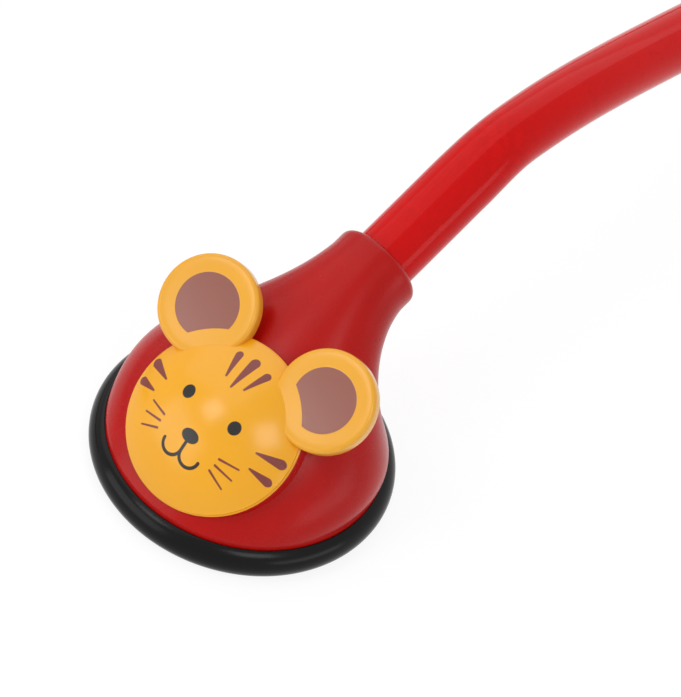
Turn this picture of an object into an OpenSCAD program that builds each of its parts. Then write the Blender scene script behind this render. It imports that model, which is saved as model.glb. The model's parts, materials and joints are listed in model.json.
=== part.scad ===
// Toy stethoscope with a horn-shaped chest piece, an animal face plate, a soft hose and a two-armed headset.
// The chest piece stands on its rim ring, with the face towards -Y and the neck towards +Y.
// The headset lies flat on the same surface, at the other end of the hose.

/* [Rim ring] */
// Outer diameter of the rubber ring round the bell's mouth
ring_d = 54; // [48:1:64]
// Radius of the ring's round section
ring_section_r = 3.4; // [3.2:0.1:3.8]
// Depth cut off the round section for the flat underside
ring_flat = 0.4; // [0.2:0.1:0.8]
// Rubber between the bell's skirt and the outside of the ring
ring_wall = 2.3; // [1.8:0.1:2.8]
// Width of the ledge that carries the diaphragm
ledge_w = 3.5; // [2.8:0.1:4.2]
// Thickness of the ledge
ledge_t = 2; // [1.6:0.1:2.6]
// Thickness of the diaphragm
diaphragm_t = 0.5; // [0.3:0.1:0.8]

/* [Bell] */
// Wall of the bell
bell_wall = 2; // [1.4:0.1:2.4]
// Height at which the straight skirt ends and the horn begins
shoulder_z = 7.2; // [6.8:0.2:8.6]
// Elevation of the neck above level, in degrees
neck_elevation = 20; // [16:1:24]
// Distance of the neck's end behind the ring's axis
neck_back = 27.9; // [26.5:0.2:30.5]
// Height of the neck's end above the floor
neck_z = 32.7; // [31.5:0.2:36.5]
// Diameter of the collar at the neck's end
collar_d = 16.4; // [15:0.2:18]
// Length of the straight collar
collar_len = 3.7; // [2.7:0.2:4.5]
// Rounding of the collar's outer edge
collar_round = 1.5; // [1:0.25:2]
// Angle at which the front of the horn leaves the skirt, in degrees
front_angle = 51; // [46:1:56]
// How far the front keeps that angle
front_rise = 15; // [12:0.5:18]
// How far the front runs in line with the neck
front_run = 18; // [14:0.5:21]
// Angle at which the back of the horn leaves the skirt, in degrees
back_angle = 125; // [118:1:130]
// How far the back keeps that angle
back_rise = 7.8; // [5.8:0.2:9]
// How far the back runs in line with the neck
back_run = 11.6; // [9:0.2:13]
// How far the sides swell above the skirt
side_swell = 2.8; // [1.6:0.2:4]
// How far the sides stay wider than the collar near the neck
side_flare = 1.7; // [0.7:0.2:2.9]

/* [Face] */
// Diameter of the face plate
face_d = 32; // [28:0.5:34]
// Distance of the face plate's centre inside the front of the bell's skirt
face_inset = 13; // [12.4:0.1:13.6]
// Height of the face plate's centre above the floor
face_z = 18.9; // [18.4:0.1:19.6]
// Elevation of the face plate's normal, in degrees
face_elevation = 49; // [46:1:52]
// Height of the dome above the seat
dome_h = 7.2; // [6:0.2:9]
// Straight edge of the dome
dome_edge = 0.8; // [0.6:0.1:1.4]
// Wall of the dome
dome_wall = 1.8; // [1.4:0.1:2.2]
// Thickness of the bell's flat seat behind the dome
seat_t = 2; // [1.6:0.1:2.6]
// How far the seat reaches down into the bell
seat_depth = 5; // [4.5:0.25:6]
// Diameter of an ear disc
ear_d = 18.3; // [15:0.3:20]
// Thickness of an ear disc
ear_t = 3; // [2.4:0.1:3.4]
// Distance of an ear's centre from the face's centre
ear_reach = 20.3; // [19:0.3:22]
// Angle of an ear from the face's upright, in degrees
ear_angle = 42; // [38:1:48]
// Bevel of an ear's front edge
ear_bevel = 0.6; // [0.3:0.1:0.9]
// Sideways distance of a screw post from the face's centre line
post_x = 5; // [4:0.25:6]
// Distance of the screw posts below the face's centre
post_drop = 2; // [1:0.25:3]
// Diameter of a screw post
post_d = 5.2; // [4.6:0.2:6]

/* [Screws] */
// Diameter of a screw's shank
screw_d = 2.2; // [1.8:0.1:2.6]
// Diameter of a screw's head
screw_head_d = 4.2; // [3.6:0.1:4.6]
// Height of a screw's head
screw_head_h = 1.4; // [1:0.1:1.8]
// Width of the cross slot in a screw's head
screw_slot_w = 0.6; // [0.4:0.1:0.8]
// Depth of the cross slot in a screw's head
screw_slot_h = 0.7; // [0.4:0.1:0.8]
// How far a face screw reaches into the dome's post
face_screw_grip = 3.6; // [2.6:0.2:4]

/* [Hose] */
// Outer diameter of the hose
hose_d = 11.2; // [10:0.2:12]
// Bore of the hose
hose_bore = 7; // [6:0.2:7.4]
// Outer diameter of the stems inside the hose's ends
stem_d = 7.6; // [7.4:0.1:8]
// Bore of the stems
stem_bore = 4.6; // [3.6:0.2:5]
// Depth of the hose's socket in the neck
socket_depth = 8; // [6:0.5:9]
// Length of the stem's seat in the neck, below the socket
stem_seat = 8; // [6:0.5:9]
// How far the neck's stem reaches past the collar
spigot_reach = 20.5; // [16:0.5:22]
// How far the yoke's barb reaches into the hose
barb_reach = 14; // [10:0.5:18]
// Diameter of a stem's flange
flange_d = 11; // [10:0.25:11.5]
// Thickness of a stem's flange
flange_t = 1.5; // [1.2:0.1:2]

/* [Headset yoke] */
// Sideways place of the headset's centre line
headset_x = -146; // [-160:1:-140]
// Place of the arms' pivots along Y
headset_y = 69; // [60:1:75]
// Thickness of the yoke
yoke_h = 14; // [13:0.5:17]
// Wall of the yoke's sides
yoke_wall = 2; // [1.6:0.1:2.2]
// Thickness of the yoke's floor and roof
yoke_floor = 2.2; // [1.8:0.1:2.4]
// Half width of the yoke's tail, where the hose arrives
tail_half_w = 9; // [8:0.25:10]
// Length of the tail behind the pivots
tail_len = 26; // [25:0.5:30]
// Half width of the yoke's head
head_half_w = 20; // [19.5:0.25:22]
// Half width of the yoke's front face
front_half_w = 15; // [13:0.5:16]
// Reach of the yoke's front face before the pivots
front_len = 9; // [8.5:0.25:11]
// Reach of the yoke's straight sides behind the pivots
side_back = 6; // [4:0.5:8]
// Reach of the yoke's straight sides before the pivots
side_front = 5; // [4:0.5:6]
// Rounding of the yoke's corners
yoke_round = 3.5; // [2:0.25:4]
// Sideways distance of a pivot from the centre line
pivot_x = 11; // [10.5:0.25:11.5]
// Diameter of a pivot pin
pin_d = 3; // [2.4:0.1:3.4]
// How deep a pivot pin sits in the floor and in the roof
pin_seat = 1.3; // [1:0.1:1.6]

/* [Headset arms] */
// Diameter of an arm
arm_d = 7; // [6:0.2:7.6]
// Diameter of an arm's pivot eye
eye_d = 11; // [9:0.25:11]
// Angle at which an arm leaves the yoke, in degrees from straight ahead
arm_angle = 45; // [40:1:50]
// Straight length of an arm from its pivot
arm_root_len = 30; // [26:1:36]
// Radius of an arm's bow
bow_r = 50; // [40:1:60]
// Straight length of an arm between its bow and its crook
arm_mid_len = 40; // [30:1:50]
// Radius of an arm's crook
crook_r = 20; // [14:1:24]
// How far the crook turns inwards, in degrees
crook_angle = 70; // [60:1:80]
// Straight length of an arm after its crook
arm_end_len = 6; // [4:0.5:10]
// Opening travel of an arm, in degrees
arm_travel = 22; // [10:1:22]
// Diameter of the stub that holds an ear tip
stub_d = 4.8; // [4:0.2:5.2]
// Length of the stub
stub_len = 7; // [5:0.5:8]
// Largest diameter of an ear tip
tip_d = 13; // [11:0.5:13]
// Length of an ear tip
tip_len = 13; // [11:0.5:16]
// Sound hole of an ear tip
tip_hole_d = 2.4; // [1.6:0.2:3]

/* [Hidden] */
$fn = 64;

// Clearance of pieces that are pressed or glued together
snug = 0.05;
// Radial clearance of an arm on its pin
running = 0.05;
// Clearance of pieces that move past each other
clear = 0.4;
// Overrun of cuts, and overlap of shapes that are joined
over = 1;
// Step between two shapes that are joined in line with each other
step = 0.05;
// Length of the space behind the neck's stem for its flange
flange_room = 7;
// Distance of the seat's floor inside the face plate's edge
seat_rim = 0.5;

red = [0.69, 0.15, 0.14];
hose_red = [0.78, 0.12, 0.11];
yellow = [0.97, 0.71, 0.24];
black = [0.11, 0.11, 0.11];
white = [0.92, 0.92, 0.9];
steel = [0.72, 0.73, 0.75];

// Ring and skirt
bell_base_r = ring_d / 2 - ring_wall;
ring_mid_r = ring_d / 2 - ring_section_r;
ring_mid_z = ring_section_r - ring_flat;
ring_bore_r = bell_base_r - ledge_w;
skirt_z = ledge_t + diaphragm_t;

// Horn: three curves give its front, its back and its half width from the skirt to the collar
bell_sides = 40;
bell_steps = 14;
cavity_share = 0.55;
collar_r = collar_d / 2;
horn_foot_r = bell_base_r - step;
horn_head_r = collar_r - step;
neck_dir = [cos(neck_elevation), sin(neck_elevation)];
neck_up = [-sin(neck_elevation), cos(neck_elevation)];
neck_end = [neck_back, neck_z];
collar_start = neck_end - collar_len * neck_dir;
front_foot = [-horn_foot_r, shoulder_z];
front_head = collar_start + horn_head_r * neck_up;
front_curve = [front_foot, front_foot + front_rise * [cos(front_angle), sin(front_angle)],
    front_head - front_run * neck_dir, front_head];
back_foot = [horn_foot_r, shoulder_z];
back_head = collar_start - horn_head_r * neck_up;
back_curve = [back_foot, back_foot + back_rise * [cos(back_angle), sin(back_angle)],
    back_head - back_run * neck_dir, back_head];
side_curve = [horn_foot_r, horn_foot_r + side_swell, horn_head_r + side_flare, horn_head_r];

// Face
face_r = face_d / 2;
face_front = bell_base_r - face_inset;
dome_cap_h = dome_h - dome_edge;
dome_r = (face_r * face_r + dome_cap_h * dome_cap_h) / (2 * dome_cap_h);
dome_mid_z = dome_h - dome_r;
ear_places = [for (side = [-1, 1]) ear_reach * [side * sin(ear_angle), cos(ear_angle)]];
post_places = [for (side = [-1, 1]) [side * post_x, -post_drop]];
screw_r = screw_d / 2;

// Hose: swollen where a stem stretches it
stem_r = stem_d / 2;
swollen_r = (hose_d + stem_d - hose_bore) / 2;
hose_r = hose_d / 2;
hose_sides = 12;
hose_lie = 5.7;
yoke_mid_z = yoke_h / 2;
tail_y = headset_y + tail_len;
function neck_point(out) = [0, neck_back + out * neck_dir[0], neck_z + out * neck_dir[1]];
hose_start = [for (out = [-socket_depth, 0, spigot_reach]) neck_point(out)];
hose_free = [
    [0, 57, 42.6], [0, 67, 42.5], [0, 78, 41.1], [0, 90, 38.6], [0, 102, 35.6], [0, 114, 32.4], [0, 130, 27.8],
    [0, 145, 23.3], [-3.5, 165.5, 17.4], [-14, 184, 12.6], [-30, 198.5, 9.2], [-50.5, 208, 7.2], [-73, 211, 6.1],
    [-95.5, 208, hose_lie], [-116, 198.5, hose_lie], [-132, 184, hose_lie], [-142.5, 165.5, hose_lie],
    [-146, 145, hose_lie], [-146, 128, 6]];
hose_end = [for (out = [barb_reach, 0]) [headset_x, tail_y + out, yoke_mid_z]];
hose_route = concat(hose_start, hose_free, hose_end);
hose_last = len(hose_route) - 1;
function on_stem(k) = k < len(hose_start) || k > hose_last - len(hose_end);

// Headset: an arm's course from its pivot, in headings from straight ahead, outwards positive
function heading(angle) = [sin(angle), cos(angle)];
function inwards(angle) = [-cos(angle), sin(angle)];
arm_r = arm_d / 2;
bow_start = arm_root_len * heading(arm_angle);
bow_mid = bow_start + bow_r * inwards(arm_angle);
bow_end = bow_mid - bow_r * inwards(0);
crook_start = bow_end + arm_mid_len * heading(0);
crook_mid = crook_start + crook_r * inwards(0);
crook_end = crook_mid - crook_r * inwards(-crook_angle);
arm_end = crook_end + arm_end_len * heading(-crook_angle);
eye_h = yoke_h - 2 * yoke_floor - clear / 2;
screw_boss_r = post_d / 2;
yoke_screw_places = [[0, front_len - yoke_wall - screw_boss_r - clear], [-pivot_x, -tail_len / 2],
    [pivot_x, -tail_len / 2]];
screw_sink = screw_head_h + snug;
yoke_screw_len = yoke_mid_z;
barb_tail = tail_len - yoke_wall;
barb_rib_y = -barb_tail + flange_t + 2 * yoke_wall;
// Radius and height of an ear tip's outline, as shares of its radius and its length
tip_outline_shares = [[0.62, 0], [0.7, 0.06], [0.82, 0.2], [0.95, 0.38], [1, 0.52], [0.97, 0.66], [0.86, 0.8],
    [0.68, 0.92], [0.5, 0.98], [0.36, 1]];

// A point on a curve with four control values
function bezier(p, s) = pow(1 - s, 3) * p[0] + 3 * s * pow(1 - s, 2) * p[1] + 3 * s * s * (1 - s) * p[2]
    + pow(s, 3) * p[3];

// One closed section of the horn, drawn in by inset and moved by shift
function horn_section(s, inset, shift = [0, 0]) =
    let (front = bezier(front_curve, s), back = bezier(back_curve, s), side = bezier(side_curve, s) - inset)
    let (mid = (front + back) / 2 + shift, half = (back - front) / 2, reach = half * (1 - inset / norm(half)))
    [for (i = [0 : bell_sides - 1]) let (turn = 360 * i / bell_sides)
        [side * sin(turn), mid[0] + reach[0] * cos(turn), mid[1] + reach[1] * cos(turn)]];

// The horn's sections from just inside the skirt up to the share last of its length
function horn_sections(inset, last) = concat([horn_section(0, inset, [0, -over])],
    [for (k = [0 : bell_steps]) horn_section(last * k / bell_steps, inset)],
    last == 1 ? [horn_section(1, inset, over * neck_dir)] : []);

// Triangles of the wall between rings of points that run clockwise seen from the far end
function wall_faces(rings, sides, first = 0) = [for (k = [0 : rings - 2], i = [0 : sides - 1])
    let (a = first + k * sides + i, b = first + k * sides + (i + 1) % sides)
    each [[a, b, b + sides], [a, b + sides, a + sides]]];

function reversed(list) = [for (k = [len(list) - 1 : -1 : 0]) list[k]];

// A closed solid through rings of points
module loft(rings) {
    sides = len(rings[0]);
    last = (len(rings) - 1) * sides;
    low_cap = [for (i = [sides - 1 : -1 : 0]) i];
    high_cap = [for (i = [0 : sides - 1]) last + i];
    polyhedron([for (ring = rings) each ring], concat(wall_faces(len(rings), sides), [low_cap, high_cap]));
}

// Puts a shape on the neck's end, with its Z along the neck
module at_neck() {
    translate([0, neck_back, neck_z]) rotate([neck_elevation - 90, 0, 0]) children();
}

// Puts a shape on the face's seat, with its Z out of the face and its Y up the face
module at_face() {
    translate([0, -face_front, face_z]) rotate([90 - face_elevation, 0, 0]) children();
}

// Puts a shape in the headset, with its Y from the yoke to the ear tips
module at_headset() {
    translate([headset_x, headset_y, 0]) rotate([0, 0, 180]) children();
}

// A straight cylinder along Z between two heights
module rod(radius, from, to) {
    translate([0, 0, from]) cylinder(r = radius, h = to - from);
}

// A pan-head screw along Z whose head rests on the plane at zero, with its shank upwards
module screw(length) {
    difference() {
        rotate_extrude() {
            polygon([[0, -screw_head_h], [screw_head_d / 4, -screw_head_h],
                [screw_head_d / 2, -screw_head_h / 2], [screw_head_d / 2, 0], [screw_r, 0],
                [screw_r, length - screw_r], [0, length]]);
        }
        for (turn = [0, 90]) rotate([0, 0, turn]) {
            translate([-screw_head_d / 4, -screw_slot_w / 2, -screw_head_h - over]) {
                cube([screw_head_d / 2, screw_slot_w, screw_slot_h + over]);
            }
        }
    }
}

// Chest piece

module collar() {
    edge = [for (turn = [0 : 15 : 90]) [collar_r - collar_round + collar_round * cos(turn),
        -collar_round + collar_round * sin(turn)]];
    foot = over / 2 - collar_len;
    rotate_extrude() polygon(concat([[0, foot], [collar_r, foot]], edge, [[0, 0]]));
}

module neck_bores() {
    seat_end = -socket_depth - stem_seat;
    rod(swollen_r + snug, -socket_depth, over);
    rod(stem_r + snug, seat_end - over, over);
    rod(flange_d / 2 + snug, seat_end - flange_room, seat_end);
}

module bell_cavity() {
    difference() {
        union() {
            loft(horn_sections(bell_wall, cavity_share));
            rod(bell_base_r - bell_wall, skirt_z - over, shoulder_z - over / 2);
        }
        at_face() rod(face_r - seat_rim, -seat_t, over);
    }
}

module bell() {
    color(red) difference() {
        union() {
            loft(horn_sections(0, 1));
            rod(bell_base_r, skirt_z, shoulder_z - over / 2);
            at_neck() collar();
            at_face() rod(face_r, -seat_depth, 0);
        }
        bell_cavity();
        at_face() rod(face_r + snug, 0, dome_h);
        at_neck() neck_bores();
        at_face() for (place = post_places) translate(place) {
            rod(screw_r + snug, -seat_t - over, over);
            rod(screw_head_d / 2 + clear, -seat_t - screw_head_h - clear, -seat_t);
        }
    }
}

module rim_ring() {
    color(black) rotate_extrude() difference() {
        intersection() {
            translate([ring_mid_r, ring_mid_z]) circle(r = ring_section_r);
            translate([ring_bore_r, 0]) square([ring_d, ring_d]);
        }
        translate([0, ledge_t]) square([bell_base_r + snug, ring_d]);
    }
}

module diaphragm() {
    color(white) rod(bell_base_r, ledge_t, skirt_z);
}

// The dome's outline from its apex to its edge, for a sphere of a given radius
function dome_arc(radius, foot_z) =
    let (reach = acos((foot_z - dome_mid_z) / radius), steps = 12)
    [for (k = [0 : steps]) let (turn = reach * k / steps) [radius * sin(turn), dome_mid_z + radius * cos(turn)]];

module face_dome() {
    color(yellow) at_face() difference() {
        union() {
            rotate_extrude() {
                polygon(concat(dome_arc(dome_r, dome_edge), [[face_r, 0]],
                    reversed(dome_arc(dome_r - dome_wall, 0))));
            }
            intersection() {
                for (place = post_places) translate(place) rod(post_d / 2, 0, dome_h);
                rotate_extrude() polygon(concat(dome_arc(dome_r - dome_wall / 2, 0), [[0, 0]]));
            }
        }
        for (place = ear_places) translate(place) rod(ear_d / 2 + snug, -over, ear_t + snug);
        for (place = post_places) translate(place) rod(screw_r + snug, -over, face_screw_grip + snug);
    }
}

module face_ear(place) {
    color(yellow) at_face() translate(place) rotate_extrude() {
        polygon([[0, 0], [ear_d / 2, 0], [ear_d / 2, ear_t - ear_bevel], [ear_d / 2 - ear_bevel, ear_t], [0, ear_t]]);
    }
}

module face_ear_left() {
    face_ear(ear_places[0]);
}

module face_ear_right() {
    face_ear(ear_places[1]);
}

module face_screws() {
    color(steel) at_face() for (place = post_places) translate([place[0], place[1], -seat_t]) {
        screw(seat_t + face_screw_grip);
    }
}

// Hose and its stems

module stem(flange_z, tip_z, foot_z) {
    difference() {
        union() {
            rotate_extrude() {
                polygon([[0, foot_z], [stem_r, foot_z], [stem_r, tip_z - flange_t], [stem_bore / 2, tip_z],
                    [0, tip_z]]);
            }
            rod(flange_d / 2, flange_z - flange_t, flange_z);
        }
        rod(stem_bore / 2, foot_z - over, tip_z + over);
    }
}

module hose_spigot() {
    seat_end = -socket_depth - stem_seat;
    color(white) at_neck() stem(seat_end, spigot_reach, seat_end - flange_t);
}

function unit(v) = v / norm(v);

// The hose's direction at a point of its route
function hose_dir(k) =
    k == 0 ? unit(hose_route[1] - hose_route[0])
    : k == hose_last ? unit(hose_route[k] - hose_route[k - 1])
    : unit(unit(hose_route[k + 1] - hose_route[k]) + unit(hose_route[k] - hose_route[k - 1]));

// A ring of points round the hose's route
function hose_ring(k, radius) =
    let (along = hose_dir(k), side = unit(cross(along, [0, 0, 1])), up = cross(side, along))
    [for (i = [0 : hose_sides - 1]) let (turn = 360 * i / hose_sides)
        hose_route[k] + radius * (cos(turn) * up + sin(turn) * side)];

module hose() {
    flat_to_corner = 1 / cos(180 / hose_sides);
    rings = hose_last + 1;
    outer = [for (k = [0 : hose_last]) each hose_ring(k, on_stem(k) ? swollen_r : hose_r)];
    inner = [for (k = [0 : hose_last])
        each hose_ring(k, (on_stem(k) ? stem_r + snug : hose_bore / 2) * flat_to_corner)];
    first = len(outer);
    last_ring = hose_last * hose_sides;
    bore_faces = [for (face = wall_faces(rings, hose_sides, first)) reversed(face)];
    end_faces = [for (i = [0 : hose_sides - 1])
        let (j = (i + 1) % hose_sides)
        let (near = [i, first + i, first + j, j])
        let (far = [j, first + j, first + i, i] + [for (n = [0 : 3]) last_ring])
        each [[near[0], near[1], near[2]], [near[0], near[2], near[3]],
            [far[0], far[1], far[2]], [far[0], far[2], far[3]]]];
    color(hose_red) polyhedron(concat(outer, inner),
        concat(wall_faces(rings, hose_sides), bore_faces, end_faces));
}

module hose_barb() {
    color(white) at_headset() translate([0, 0, yoke_mid_z]) rotate([90, 0, 0]) {
        stem(barb_tail, tail_len + barb_reach, -barb_rib_y - yoke_wall);
    }
}

// Headset yoke

// The corners of the yoke's outline, drawn in by inset
function yoke_corners(inset) =
    let (half = [[tail_half_w, -tail_len, 1], [head_half_w, -side_back, 0], [head_half_w, side_front, 0],
        [front_half_w, front_len, -1]])
    let (right = [for (p = half) [p[0] - inset, p[1] + inset * p[2]]])
    concat(right, reversed([for (p = right) [-p[0], p[1]]]));

// An outline with each corner rounded
function rounded(corners, radius) =
    let (count = len(corners), steps = 6)
    [for (k = [0 : count - 1])
        let (here = corners[k])
        let (to_last = unit(corners[(k + count - 1) % count] - here))
        let (to_next = unit(corners[(k + 1) % count] - here))
        let (half_angle = acos(to_last * to_next) / 2)
        let (mid = here + unit(to_last + to_next) * radius / sin(half_angle))
        let (a = here + to_last * radius / tan(half_angle) - mid)
        let (b = here + to_next * radius / tan(half_angle) - mid)
        let (from = atan2(a[1], a[0]), sweep = atan2(a[0] * b[1] - a[1] * b[0], a * b))
        for (n = [0 : steps])
            let (turn = from + sweep * n / steps) mid + radius * [cos(turn), sin(turn)]];

// The gap that an arm sweeps on its way out of the yoke
module arm_slot() {
    width = arm_r + clear;
    reach = arm_root_len;
    inner = width * inwards(arm_angle);
    outer = -width * inwards(arm_angle + arm_travel);
    translate([pivot_x, 0, yoke_floor]) linear_extrude(yoke_h - 2 * yoke_floor) {
        polygon([inner, inner + reach * heading(arm_angle), outer + reach * heading(arm_angle + arm_travel), outer]);
    }
}

module both_sides() {
    children();
    mirror([1, 0, 0]) children();
}

// The whole hollow yoke, before it is split into two shells
module yoke() {
    difference() {
        linear_extrude(yoke_h) polygon(rounded(yoke_corners(0), yoke_round));
        difference() {
            translate([0, 0, yoke_floor]) linear_extrude(yoke_h - 2 * yoke_floor) {
                polygon(rounded(yoke_corners(yoke_wall), yoke_round - yoke_wall / 2));
            }
            for (place = yoke_screw_places) translate(place) cylinder(r = screw_boss_r, h = yoke_h);
            translate([-head_half_w, barb_rib_y, 0]) cube([2 * head_half_w, yoke_wall, yoke_h]);
        }
        both_sides() arm_slot();
        both_sides() translate([pivot_x, 0, 0]) rod(pin_d / 2 + snug, yoke_floor - pin_seat,
            yoke_h - yoke_floor + pin_seat);
        translate([0, barb_rib_y + yoke_wall + over, yoke_mid_z]) rotate([90, 0, 0]) {
            cylinder(r = stem_r + snug, h = tail_len + barb_rib_y + yoke_wall + 2 * over);
        }
        translate([0, flange_t + snug - barb_tail, yoke_mid_z]) rotate([90, 0, 0]) {
            cylinder(r = flange_d / 2 + snug, h = flange_t + snug);
        }
    }
}

module yoke_lower_shell() {
    color(red) at_headset() difference() {
        yoke();
        translate([-head_half_w - over, -tail_len - over, yoke_mid_z]) {
            cube([2 * (head_half_w + over), tail_len + front_len + 2 * over, yoke_h]);
        }
        for (place = yoke_screw_places) translate(place) {
            rod(screw_r + snug, yoke_h - screw_sink - yoke_screw_len - snug, yoke_h);
        }
    }
}

module yoke_upper_shell() {
    color(red) at_headset() difference() {
        yoke();
        translate([-head_half_w - over, -tail_len - over, yoke_mid_z - yoke_h]) {
            cube([2 * (head_half_w + over), tail_len + front_len + 2 * over, yoke_h]);
        }
        for (place = yoke_screw_places) translate(place) {
            rod(screw_r + snug, 0, yoke_h);
            rod(screw_head_d / 2 + snug, yoke_h - screw_sink, yoke_h + over);
        }
    }
}

module yoke_screws() {
    color(steel) at_headset() for (place = yoke_screw_places) {
        translate([place[0], place[1], yoke_h - screw_sink]) rotate([180, 0, 0]) screw(yoke_screw_len);
    }
}

module pivot_pin(side) {
    color(steel) at_headset() translate([side * pivot_x, 0, 0]) {
        rod(pin_d / 2, yoke_floor - pin_seat + snug, yoke_h - yoke_floor + pin_seat - snug);
    }
}

module left_pivot_pin() {
    pivot_pin(1);
}

module right_pivot_pin() {
    pivot_pin(-1);
}

// Headset arms

// A straight piece of an arm along a heading
module arm_straight(from, angle, length, radius) {
    translate(from) rotate([0, 0, -angle]) rotate([-90, 0, 0]) cylinder(r = radius, h = length);
}

// A bent piece of an arm between two headings, whose ends lie a little inside the straight pieces
module arm_bend(mid, radius, from, to) {
    lap = over / radius * 180 / PI;
    translate(mid) rotate([0, 0, -from - lap]) rotate_extrude(angle = from - to + 2 * lap) {
        translate([radius, 0]) circle(r = arm_r - step);
    }
}

// Puts a shape on one side of the headset, in the arms' plane, with the pivot at the origin
module at_pivot(side) {
    at_headset() translate([side * pivot_x, 0, yoke_mid_z]) mirror([side < 0 ? 1 : 0, 0, 0]) children();
}

module arm(side) {
    color(red) at_pivot(side) difference() {
        union() {
            rod(eye_d / 2, -eye_h / 2, eye_h / 2);
            arm_straight([0, 0], arm_angle, arm_root_len, arm_r);
            arm_bend(bow_mid, bow_r, arm_angle, 0);
            arm_straight(bow_end, 0, arm_mid_len, arm_r);
            arm_bend(crook_mid, crook_r, 0, -crook_angle);
            arm_straight(crook_end, -crook_angle, arm_end_len, arm_r);
            arm_straight(arm_end - over * heading(-crook_angle), -crook_angle, stub_len + over, stub_d / 2);
        }
        rod(pin_d / 2 + running, -yoke_h, yoke_h);
    }
}

module left_arm() {
    arm(1);
}

module right_arm() {
    arm(-1);
}

module ear_tip(side) {
    outline = [for (p = tip_outline_shares) [p[0] * tip_d / 2, p[1] * tip_len]];
    color(black) at_pivot(side) translate(arm_end) rotate([0, 0, crook_angle]) rotate([-90, 0, 0]) difference() {
        rotate_extrude() polygon(concat([[0, 0]], outline, [[0, tip_len]]));
        rod(stub_d / 2 + snug, -over, stub_len + snug);
        rod(tip_hole_d / 2, 0, tip_len + over);
    }
}

module left_ear_tip() {
    ear_tip(1);
}

module right_ear_tip() {
    ear_tip(-1);
}

bell();
rim_ring();
diaphragm();
face_dome();
face_ear_left();
face_ear_right();
face_screws();
hose_spigot();
hose();
hose_barb();
yoke_lower_shell();
yoke_upper_shell();
yoke_screws();
left_pivot_pin();
right_pivot_pin();
left_arm();
right_arm();
left_ear_tip();
right_ear_tip();
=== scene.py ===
"""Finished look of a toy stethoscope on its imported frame.

The chest piece stands on its rim ring with the face plate in front, the hose leaves the neck and turns back
along the table, and the headset lies beside it. Lengths are in metres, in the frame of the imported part.
"""

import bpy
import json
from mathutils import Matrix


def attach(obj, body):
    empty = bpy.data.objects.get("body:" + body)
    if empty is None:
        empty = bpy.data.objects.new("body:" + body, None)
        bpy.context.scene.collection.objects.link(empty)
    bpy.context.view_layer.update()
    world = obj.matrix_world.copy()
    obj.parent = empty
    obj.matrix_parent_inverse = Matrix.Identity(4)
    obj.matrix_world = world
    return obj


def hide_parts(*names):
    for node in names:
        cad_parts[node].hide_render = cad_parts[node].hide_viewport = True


bl_info = {
    "name": "Toy Stethoscope",
    "version": (1, 0, 0),
    "blender": (4, 5, 0),
    "location": "3D View > Sidebar > Stethoscope",
    "description": "Builds the finished pieces of a toy stethoscope on its packed frame",
    "category": "Object",
}

import json
import math

import bmesh
import bpy
from bpy.props import FloatProperty, FloatVectorProperty, PointerProperty
from mathutils import Matrix, Vector

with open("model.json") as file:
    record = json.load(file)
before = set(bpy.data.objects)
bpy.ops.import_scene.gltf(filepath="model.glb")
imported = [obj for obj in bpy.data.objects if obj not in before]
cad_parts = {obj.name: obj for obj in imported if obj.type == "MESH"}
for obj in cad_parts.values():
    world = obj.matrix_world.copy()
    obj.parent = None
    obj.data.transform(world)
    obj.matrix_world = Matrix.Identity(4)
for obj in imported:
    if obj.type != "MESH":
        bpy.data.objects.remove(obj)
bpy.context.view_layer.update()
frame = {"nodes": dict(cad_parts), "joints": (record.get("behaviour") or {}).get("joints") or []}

MAIN = "main"
ARM_BODIES = {"left": "left_arm_body", "right": "right_arm_body"}
PIVOTS = {joint["child"]: Vector(joint["pos_m"]) for joint in frame["joints"]}

# Fineness of the meshes: sides of the round pieces, and steps along the curved ones
BELL_SIDES, BELL_STATIONS, COLLAR_STEPS = 144, 64, 10
RING_SIDES, RING_STEPS, RING_FOOT_STEPS = 192, 48, 8
SEAT_SIDES, DOME_SIDES, DOME_STEPS, EAR_SIDES = 128, 144, 56, 96
HOSE_SIDES, HOSE_STEP = 56, 0.0012
ARM_SIDES, ARM_BEND_STEPS, PIVOT_SIDES, TIP_SIDES = 48, 24, 64, 72

# The hose's route: distances out of the neck over the stem, free points as in the part's source, and the barb
STEM_STATIONS = (-0.008, 0, 0.007, 0.014, 0.0205)
FREE_ROUTE = (
    (0, 0.057, 0.0426), (0, 0.067, 0.0425), (0, 0.078, 0.0411), (0, 0.09, 0.0386), (0, 0.102, 0.0356),
    (0, 0.114, 0.0324), (0, 0.13, 0.0278), (0, 0.145, 0.0233), (-0.0035, 0.1655, 0.0174),
    (-0.014, 0.184, 0.0126), (-0.03, 0.1985, 0.0092), (-0.0505, 0.208, 0.0072), (-0.073, 0.211, 0.0061),
    (-0.0955, 0.208, 0.0057), (-0.116, 0.1985, 0.0057), (-0.132, 0.184, 0.0057), (-0.1425, 0.1655, 0.0057),
    (-0.146, 0.145, 0.0057), (-0.146, 0.128, 0.006))
BARB_ROUTE = ((-0.146, 0.109, 0.007), (-0.146, 0.095, 0.007))

# Printed strokes: start and end as shares of the face's radius, then half widths at both ends in metres.
# Those of the right half are mirrored.
BROW_STRIPE = ((0, 0.78), (0, 0.44), 0.0009, 0.0002)
RIGHT_STRIPES = (
    ((0.2, 0.75), (0.13, 0.5), 0.0007, 0.0002),
    ((0.9, 0.12), (0.66, 0.06), 0.0009, 0.0002),
    ((0.9, -0.12), (0.7, -0.12), 0.0008, 0.0002))
RIGHT_WHISKERS = (
    ((0.4, -0.24), (0.62, -0.2), 0.00022, 0.00016),
    ((0.4, -0.32), (0.62, -0.34), 0.00022, 0.00016),
    ((0.38, -0.4), (0.58, -0.48), 0.00022, 0.00016))
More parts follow.
